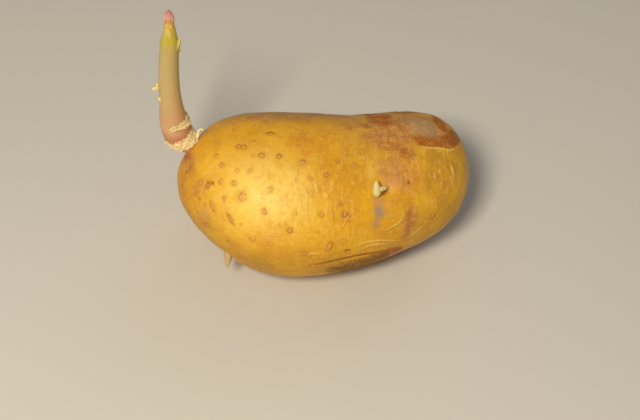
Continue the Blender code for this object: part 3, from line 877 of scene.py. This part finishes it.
skin.data.materials.clear()
skin.data.materials.append(skin_cork)
skin.data.shade_smooth()
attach(skin, "root")
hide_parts("tuber")
print("nodes in the skin's material:", len(skin_cork.node_tree.nodes))

# %% [markdown]
# ## The long shoot
# A potato shoot is a pale stem with small scale leaves up its sides, a closed bud at its tip and
# rings of root nubs at its foot. We extrude a disc from station to station for the stem, lay many
# nubs and leaves into it, and let a voxel Remesh fuse everything into one skin, as living tissue
# is.

# %% Stem: place, diameter and lean of each station, in millimetres and degrees
STEM_STATIONS = (
    (-36.8, 10.3, 37.4, 6.0, 44), (-40.6, 11.3, 39.6, 8.5, 36), (-42.7, 11.4, 42.4, 9.2, 24),
    (-43.8, 11.1, 48.4, 9.2, 10), (-44.1, 10.4, 54.4, 7.6, 4), (-44.5, 9.8, 61.0, 6.6, 3),
    (-44.6, 9.0, 69.3, 6.3, 0), (-44.4, 8.1, 77.1, 6.2, -3), (-43.9, 7.4, 82.6, 5.5, -2),
    (-43.8, 6.9, 87.0, 4.1, 0), (-43.9, 6.5, 90.4, 3.2, 0), (-43.9, 6.2, 93.2, 2.7, 0),
    (-44.0, 6.0, 95.2, 1.5, 0), (-44.0, 5.9, 96.3, 0.6, 0),
)
STEM_SIDES = 24
print("stations of the stem:", len(STEM_STATIONS))

# %% A disc extruded from station to station
def extrude_stem(name, stations, sides):
    """A disc extruded through the stations, turned and resized at each."""
    x, y, z, diameter, lean = stations[0]
    pick()
    bpy.ops.mesh.primitive_circle_add(
        vertices=sides,
        radius=diameter / 2 * MM,
        fill_type="NGON",
        location=Vector((x, y, z)) * MM,
        rotation=(0, -math.radians(lean), 0),
    )
    stem = bpy.context.object
    stem.name = name
    bpy.ops.object.transform_apply(location=True, rotation=True, scale=True)
    bpy.ops.object.mode_set(mode="EDIT")
    bpy.ops.mesh.select_all(action="SELECT")
    for before, here in zip(stations, stations[1:]):
        middle = Vector(here[:3]) * MM
        step = middle - Vector(before[:3]) * MM
        bpy.ops.mesh.extrude_region_move(TRANSFORM_OT_translate={"value": step})
        grow = here[3] / before[3]
        bpy.ops.transform.resize(value=(grow, grow, grow), center_override=middle)
        bpy.ops.transform.rotate(
            value=math.radians(here[4] - before[4]), orient_axis="Y", center_override=middle
        )
    bpy.ops.mesh.select_all(action="SELECT")
    bpy.ops.mesh.normals_make_consistent(inside=False)
    bpy.ops.object.mode_set(mode="OBJECT")
    return stem


stem = extrude_stem("long_shoot_flesh", STEM_STATIONS, STEM_SIDES)
round_off(stem)
bare_stem = BVHTree.FromPolygons(
    [vert.co / MM for vert in stem.data.vertices],
    [tuple(face.vertices) for face in stem.data.polygons],
)
print("stem points:", len(stem.data.vertices))

# %% The stem's axis at a height, and a direction for a bearing
def stem_at(height):
    """Middle and radius of the stem at a height, in millimetres."""
    heights = [s[2] for s in STEM_STATIONS]
    x, y, diameter = (np.interp(height, heights, [s[n] for s in STEM_STATIONS]) for n in (0, 1, 3))
    return Vector((x, y, height)), diameter / 2


def sideways(bearing):
    """The level direction of a bearing in degrees."""
    return Vector((math.cos(math.radians(bearing)), math.sin(math.radians(bearing)), 0.0))


# %% A copy of a model, placed by a matrix
def place_copy(model, name, matrix):
    """A copy of a modelled shape with its own mesh, placed in millimetres."""
    copy = bpy.data.objects.new(name, model.data.copy())
    bpy.context.scene.collection.objects.link(copy)
    copy.data.transform(Matrix.Scale(MM, 4) @ matrix)
    return copy


# %% Root nubs: one blunt bead, and where it is copied to
pick()
bpy.ops.mesh.primitive_ico_sphere_add(subdivisions=2, radius=1.0)
nub_model = bpy.context.object
# Each frill runs round the stem in a plane through three pixels. It is so many millimetres tall,
# has a number of nubs, is bare about one bearing and has few nubs about another (bearing and reach
# in degrees). On the side away from the picture the lower one sags until it meets the skin
NUB_FRILLS = (
    (((169.8, 145.2), (180.5, 146.2), (192.0, 137.4)), 4.2, 760, (0, 0), (215, 40)),
    (((174.4, 127.2), (183.0, 119.6), (188.2, 115.4)), 4.4, 520, (200, 60), (0, 0)),
)
# Knobs are closed side buds: height and bearing on the stem, distance out, and size
KNOBS = (
    (64.7, 192, 0.3, 1.0), (64.2, 189, 1.4, 0.8), (66.0, 191, 0.4, 0.65), (63.5, 188, 1.7, 0.42),
    (60.6, 208, 0.0, 0.9), (59.8, 216, 0.0, 0.55), (80.1, 350, 0.1, 0.50), (91.3, 232, -0.1, 0.45),
    (91.0, 288, -0.1, 0.45),
)
# One rootlet has grown out of the lower frill and curls: place and thickness along it
ROOTLET = (
    (-37.0, 10.0, 41.0, 1.6), (-36.3, 10.3, 42.0, 1.3), (-36.0, 10.9, 42.8, 1.05),
    (-35.8, 11.3, 43.5, 0.95), (-35.3, 11.5, 43.9, 0.85), (-34.7, 11.5, 43.9, 0.8),
    (-34.3, 11.4, 43.5, 0.7),
)
nub_draw = random.Random(5)
growths = []


def add_nub(place, outwards, size, reach):
    """A nub that points outwards from a place, in millimetres."""
    matrix = (
        Matrix.Translation(place)
        @ outwards.to_track_quat("Z", "Y").to_matrix().to_4x4()
        @ Matrix.Diagonal((size, size, size * reach, 1.0))
    )
    growths.append(place_copy(nub_model, "nub", matrix))


# %% Where a frill runs, and how far a direction is from a bearing
def frill_plane(pixels):
    """Middle and axis of the plane through three points of the stem behind pixels."""
    spots = [seen_at(*pixel, bare_stem, pixels[1])[0] for pixel in pixels]
    axis = (spots[1] - spots[0]).cross(spots[2] - spots[0]).normalized()
    axis = -axis if axis.z < 0 else axis
    middle, _ = stem_at(spots[1].z)
    return middle + Vector((0, 0, (spots[1] - middle).dot(axis) / axis.z)), axis


def bearing_gap(outwards, bearing):
    """Degrees between a direction and a bearing."""
    return abs((math.degrees(math.atan2(outwards.y, outwards.x)) - bearing + 180) % 360 - 180)


# %% Two frills round the foot, each a seam of beads with nubs over it
FRILL_REACH = 5.5
SAG_BEARING, SAG_REACH, SAG_MM = 85.0, 75.0, 1.5
SAG_SPREAD = (0.4, 1.6)
SEAM_BEADS, SEAM_SUNK, SEAM_SIZE, SEAM_SHARE = 48, 0.10, 0.55, 0.48
NARROWING, NARROWEST = 50.0, 0.3
NUB_SIZES, NUB_REACHES = (0.18, 0.36), (0.9, 1.1, 1.4)
NUB_LIFTS, NUB_LEANS = (0.2, 0.55), (-0.6, 0.4)
STRAY_SHARE = 0.2

for pixels, band, count, (bare_bearing, bare_reach), (smooth_bearing, smooth_reach) in NUB_FRILLS:
    middle, axis = frill_plane(pixels)
    side = axis.orthogonal().normalized()
    for n in range(SEAM_BEADS + count):
        share = n / SEAM_BEADS if n < SEAM_BEADS else nub_draw.random()
        outwards = Matrix.Rotation(math.tau * share, 3, axis) @ side
        bare_gap = bearing_gap(outwards, bare_bearing) if bare_reach else 180.0
        if bare_gap < bare_reach:
            continue
        width = min(1.0, (bare_gap - bare_reach) / NARROWING)
        tall = band * (NARROWEST + (1.0 - NARROWEST) * width)
        behind = max(0.0, 1.0 - bearing_gap(outwards, SAG_BEARING) / SAG_REACH)
        rise_mm = 0.0 if bare_reach else -SAG_MM * behind
        if n >= SEAM_BEADS:
            rise_mm = tall * nub_draw.uniform(-0.5, 0.5) + rise_mm * nub_draw.uniform(*SAG_SPREAD)
        start = middle + outwards * FRILL_REACH + axis * rise_mm
        spot, normal, _, _ = bare_stem.find_nearest(start)
        if n < SEAM_BEADS:
            add_nub(spot - normal * SEAM_SUNK, axis, SEAM_SIZE, tall * SEAM_SHARE / SEAM_SIZE)
        elif bearing_gap(outwards, smooth_bearing) > smooth_reach or nub_draw.random() < STRAY_SHARE:
            size = nub_draw.uniform(*NUB_SIZES)
            spread = (normal + axis * nub_draw.uniform(*NUB_LEANS)).normalized()
            reach = nub_draw.choice(NUB_REACHES)
            add_nub(spot + normal * nub_draw.uniform(*NUB_LIFTS), spread, size, reach)
print("nubs in the frills:", len(growths))

# %% Knobs and the rootlet, of the same bead
KNOB_REACH = 1.1
for height_mm, bearing, out, size in KNOBS:
    middle, radius = stem_at(height_mm)
    outwards = sideways(bearing)
    add_nub(middle + outwards * (radius + out), outwards, size, KNOB_REACH)
for before, after in zip(ROOTLET, ROOTLET[1:]):
    for share in (0.0, 0.25, 0.5, 0.75):
        x, y, z, thick = (a + (b - a) * share for a, b in zip(before, after))
        add_nub(Vector((x, y, z)), Vector((0, 0, 1)), thick / 2, 1.0)
bpy.data.objects.remove(nub_model)
print("nubs in all:", len(growths))

# %% Scale leaves: one pointed leaf, pulled from a ball, copied up the stem
LEAF_BREADTH, LEAF_NARROWING, LEAF_CURVE = 1.15, 0.8, 1.5
LEAF_BELLY, LEAF_THINNING = 1.2, 0.7
FOOT_SUNK, TIP_SUNK = 0.4, 0.1
pick()
bpy.ops.mesh.primitive_uv_sphere_add(segments=16, ring_count=14, radius=0.5)
leaf_model = bpy.context.object
for vert in leaf_model.data.vertices:
    share = vert.co.z + 0.5
    vert.co.x *= LEAF_BREADTH - LEAF_NARROWING * share**LEAF_CURVE
    vert.co.y *= LEAF_BELLY - LEAF_THINNING * share
# Height and bearing of the foot, length, width, thickness, and how far the tip stands off
SCALE_LEAVES = (
    (63.8, 189, 2.6, 1.8, 1.2, 0.5), (80.6, 345, 5.4, 2.8, 1.3, 0.9), (79.5, 205, 9.0, 3.6, 0.8, 0.0),
    (81.5, 80, 9.0, 3.6, 0.8, 0.0), (85.6, 250, 5.6, 2.6, 0.9, 0.1), (92.2, 262, 4.7, 1.8, 1.3, 0.15),
    (92.0, 345, 4.3, 2.2, 1.7, 0.3), (92.1, 182, 3.9, 2.1, 1.7, 0.35), (92.2, 80, 4.3, 2.2, 1.4, 0.2),
)
for height_mm, bearing, length, width, thick, stand_off in SCALE_LEAVES:
    middle, radius = stem_at(height_mm)
    top_middle, top_radius = stem_at(height_mm + length)
    outwards = sideways(bearing)
    foot = middle + outwards * (radius - FOOT_SUNK)
    tip = top_middle + outwards * (top_radius - TIP_SUNK + stand_off)
    along = (tip - foot).normalized()
    across = along.cross(outwards).normalized()
    out = across.cross(along).normalized()
    turn = Matrix((across, out, along)).transposed().to_4x4()
    size = Matrix.Diagonal((width, thick, (tip - foot).length, 1.0))
    matrix = Matrix.Translation((foot + tip) / 2) @ turn @ size
    growths.append(place_copy(leaf_model, "scale_leaf", matrix))
bpy.data.objects.remove(leaf_model)
print("scale leaves:", len(SCALE_LEAVES))

# %% Fuse stem, nubs and leaves
SHOOT_VOXEL = 0.15


def fuse(piece, parts, voxel_mm, smooth_steps):
    """Joins closed shapes to a piece and remeshes them to one skin."""
    pick(piece, *parts)
    bpy.ops.object.join()
    remesh = piece.modifiers.new("remesh", "REMESH")
    remesh.mode = "VOXEL"
    remesh.voxel_size = voxel_mm * MM
    soften = piece.modifiers.new("soften", "SMOOTH")
    soften.factor = 0.5
    soften.iterations = smooth_steps
    finish_modifiers(piece)
    piece.data.shade_smooth()


fuse(stem, growths, SHOOT_VOXEL, 2)
print("long shoot faces:", len(stem.data.polygons))

# %% How far each point stands out from the bare stem
PROUDEST = 2.0
gaps = []
for point in points_of(stem.data):
    nearest, normal, _, _ = bare_stem.find_nearest(Vector(point))
    gaps.append((Vector(point) - nearest).dot(normal))
keep_field(stem.data, "proud_mm", np.clip(gaps, 0.0, PROUDEST))
print("furthest out, in millimetres:", round(max(gaps), 2))

# %% [markdown]
# ## Shoot material: living flesh grown in poor light
# The stem is pale, a little see-through and flushed with pink at its foot and tip. Below the tip
# the first green has formed. A ramp over the height gives these colours. Nubs and leaves are picked
# out by how far a point stands out from the bare stem.

# %% Colour of the stem, by height
shoot_flesh, flesh_shader = new_material("pale_shoot_flesh")
flesh_place = add(shoot_flesh, "TexCoord").outputs["Object"]
flesh_height = add(shoot_flesh, "SeparateXYZ", {"Vector": flesh_place}).outputs["Z"]
height_share = add(
    shoot_flesh, "MapRange", {"Value": flesh_height, "From Min": 34 * MM, "From Max": 97 * MM}
)
flesh_ramp = add(
    shoot_flesh,
    "ValToRGB",
    {"Fac": height_share},
    stops=(
        (0.0, "#DDAA78"), (0.10, "#D8A478"), (0.15, "#C48A62"), (0.21, "#D8B28E"), (0.28, "#D0AA80"),
        (0.42, "#CBB480"), (0.60, "#C6B480"), (0.76, "#C2B070"), (0.815, "#C4B83C"), (0.87, "#CCBC4C"),
        (0.915, "#D0B060"), (0.935, "#C49A60"), (0.955, "#B07864"), (1.0, "#985A56"),
    ),
)

# %% Streaks along the stem. Its fibres are too fine to show, so they are drawn 0.8 mm wide
STREAK_MM, STREAK_SQUEEZE, MOTTLE_MM, STREAK_SHARE = 0.8, 0.12, 2.2, 0.35
drawn_out = add(shoot_flesh, "Mapping", {"Vector": flesh_place, "Scale": (1.0, 1.0, STREAK_SQUEEZE)})
streak = add(
    shoot_flesh, "TexNoise", {"Vector": drawn_out, "Scale": 1 / (STREAK_MM * MM), "Detail": 3.0}
)
mottle = add(
    shoot_flesh, "TexNoise", {"Vector": flesh_place, "Scale": 1 / (MOTTLE_MM * MM), "Detail": 3.0}
)
streak_colour = add(
    shoot_flesh, "MixRGB", {"Fac": streak, "Color1": linear("#9A8A70"), "Color2": linear("#B8AE98")}
)
stem_colour = add(
    shoot_flesh,
    "MixRGB",
    {"Fac": STREAK_SHARE, "Color1": flesh_ramp, "Color2": streak_colour},
    blend_type="OVERLAY",
)

# %% Colour of nubs and leaves, by height, paler on their crests as a painted highlight
growth_ramp = add(
    shoot_flesh,
    "ValToRGB",
    {"Fac": height_share},
    stops=(
        (0.0, "#E2C890"), (0.13, "#E6D09C"), (0.20, "#CAAC6C"), (0.38, "#D4C080"), (0.445, "#B4A05C"),
        (0.7, "#BCAE60"), (0.80, "#BCAC50"), (0.90, "#D2B870"), (0.925, "#CCA070"), (0.955, "#D49E92"),
        (1.0, "#A87074"),
    ),
)
proud_mm = add(shoot_flesh, "Attribute", attribute_name="proud_mm").outputs["Fac"]
proud = add(shoot_flesh, "MapRange", {"Value": proud_mm, "From Min": 0.06, "From Max": 0.30})
painted_crest_highlight = add(
    shoot_flesh, "MapRange", {"Value": proud_mm, "From Min": 0.40, "From Max": 0.80, "To Max": 0.55}
)
growth_colour = add(
    shoot_flesh, "MixRGB", {"Fac": painted_crest_highlight, "Color1": growth_ramp, "Color2": linear("#F2E2B0")}
)
flesh_colour = add(
    shoot_flesh, "MixRGB", {"Fac": proud, "Color1": stem_colour, "Color2": growth_colour}
)

# %% Soft gloss, glow and faint relief of the shoot
FIBRE_MM = 0.06
flesh_relief = add(shoot_flesh, "Math", {0: streak, 1: mottle}, operation="ADD")
flesh_bump = add(
    shoot_flesh, "Bump", {"Height": flesh_relief, "Distance": FIBRE_MM * MM, "Strength": 1.0}
)
feed(
    shoot_flesh,
    flesh_shader,
    {
        "Base Color": flesh_colour,
        "Normal": flesh_bump,
        "Roughness": 0.46,
        "IOR": 1.4,
        "Subsurface Weight": 0.75,
        "Subsurface Radius": (1.0, 0.75, 0.4),
        "Subsurface Scale": 3.4 * MM,
    },
)
stem.data.materials.clear()
stem.data.materials.append(shoot_flesh)
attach(stem, "root")
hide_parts("long_shoot")
print("nodes in the shoot's material:", len(shoot_flesh.node_tree.nodes))

# %% [markdown]
# ## The two small buds
# The bud on the front is a tooth with a side arm that curls out of its eye. The one low at the left
# is a plain pale tooth. Both are tapered chains of balls, fused the same way as the long shoot.

# %% Tapered chains of balls, fused
BUD_VOXEL = 0.09
BALLS_A_STEP = 5
BUD_SMOOTHING = 8
OUT_FROM, OUT_BLUR = 0.45, 0.25


def ball_chains(name, chains, dryness):
    """One soft tapering body through chains of stations, each a place and a diameter."""
    balls = []
    for stations in chains:
        rows = [np.array(s) for s in stations]
        for before, after in zip(rows, rows[1:]):
            for step in range(BALLS_A_STEP):
                x, y, z, diameter = before + (after - before) * step / BALLS_A_STEP
                pick()
                bpy.ops.mesh.primitive_ico_sphere_add(
                    subdivisions=2, radius=diameter / 2 * MM, location=Vector((x, y, z)) * MM
                )
                bpy.ops.object.transform_apply(location=True, rotation=False, scale=False)
                balls.append(bpy.context.object)
    piece = balls[0]
    piece.name = name
    fuse(piece, balls[1:], BUD_VOXEL, BUD_SMOOTHING)
    points = points_of(piece.data)
    heights = points[:, 2]
    reach = np.linalg.norm(points - np.array(chains[0][0][:3]), axis=1)
    share = (heights - heights.min()) / (heights.max() - heights.min())
    keep_field(piece.data, "young", share)
    keep_field(piece.data, "out", np.clip((reach / reach.max() - OUT_FROM) / OUT_BLUR, 0.0, 1.0))
    keep_field(piece.data, "dry", np.full(len(share), dryness))
    return piece


# %% Stations of the front bud, its arm first, and of the low shoot
FRONT_BUD = (
    (
        (21.8, -14.4, 39.8, 1.2), (20.9, -15.6, 41.0, 1.4), (20.1, -16.4, 41.6, 1.5),
        (19.0, -16.9, 41.7, 1.7), (17.9, -17.0, 41.6, 2.2),
    ),
    (
        (17.7, -17.8, 40.5, 1.9), (17.65, -17.4, 41.1, 2.9), (17.6, -16.9, 41.8, 2.7),
        (17.6, -16.3, 42.6, 2.2), (17.6, -15.8, 43.4, 1.5), (17.7, -15.5, 43.8, 0.8),
    ),
)
LOW_SHOOT = (
    (
        (-27.8, -13.4, 15.4, 3.2), (-28.3, -15.3, 13.8, 3.0), (-28.4, -16.3, 12.8, 2.6),
        (-28.5, -17.2, 11.9, 1.9), (-28.6, -18.0, 11.1, 1.1), (-28.7, -18.4, 10.8, 0.6),
    ),
)
FRONT_DRYNESS, LOW_DRYNESS = 0.0, 0.75
front_bud = ball_chains("front_bud_flesh", FRONT_BUD, FRONT_DRYNESS)
low_shoot = ball_chains("low_shoot_flesh", LOW_SHOOT, LOW_DRYNESS)
print("bud faces:", len(front_bud.data.polygons), len(low_shoot.data.polygons))

# %% [markdown]
# ## Bud material: the same young flesh, drier
# The buds are the same living flesh as the shoot, but stubbier and drier, so they glow less. They
# are greenish cream, pinker at the tip, and darker where they sit in the eye. The low one has begun
# to dry out and is more of a dull buff.

# %% Bud flesh
BUD_MOTTLE_MM, BUD_RELIEF_MM = 1.1, 0.08
bud_flesh, bud_shader = new_material("pale_bud_flesh")
bud_place = add(bud_flesh, "TexCoord").outputs["Object"]
bud_mottle = add(
    bud_flesh, "TexNoise", {"Vector": bud_place, "Scale": 1 / (BUD_MOTTLE_MM * MM), "Detail": 3.0}
)
young, out, dry = (
    add(bud_flesh, "Attribute", attribute_name=name).outputs["Fac"] for name in ("young", "out", "dry")
)
bud_colour = add(
    bud_flesh,
    "ValToRGB",
    {"Fac": young},
    stops=((0.0, "#DED08C"), (0.25, "#DCD088"), (0.55, "#CCBE70"), (0.8, "#D4BC80"), (1.0, "#DEB090")),
)
for share, under, over in (
    (bud_mottle, None, linear("#D8C888")),
    (out, linear("#D8BC74"), None),
    (dry, None, linear("#B09470")),
):
    bud_colour = add(
        bud_flesh, "MixRGB", {"Fac": share, "Color1": under or bud_colour, "Color2": over or bud_colour}
    )
bud_bump = add(
    bud_flesh, "Bump", {"Height": bud_mottle, "Distance": BUD_RELIEF_MM * MM, "Strength": 1.0}
)
feed(
    bud_flesh,
    bud_shader,
    {
        "Base Color": bud_colour,
        "Normal": bud_bump,
        "Roughness": 0.42,
        "IOR": 1.4,
        "Subsurface Weight": 0.25,
        "Subsurface Radius": (1.0, 0.7, 0.3),
        "Subsurface Scale": 1.0 * MM,
    },
)
for bud, node in ((front_bud, "front_bud"), (low_shoot, "low_shoot")):
    bud.data.materials.clear()
    bud.data.materials.append(bud_flesh)
    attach(bud, "root")
    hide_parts(node)
print("nodes in the buds' material:", len(bud_flesh.node_tree.nodes))

# %% [markdown]
# ## Finish
# The new pieces must fill the same box as the imported model, so the last print gives, in millimetres,
# how far each side of their box lies from its side.

# %% How far the box has grown
visual_low, visual_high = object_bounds()
growth = (*(visual_low - cad_low), *(visual_high - cad_high))
print("box grew by, in millimetres:", [round(step / MM, 2) for step in growth])
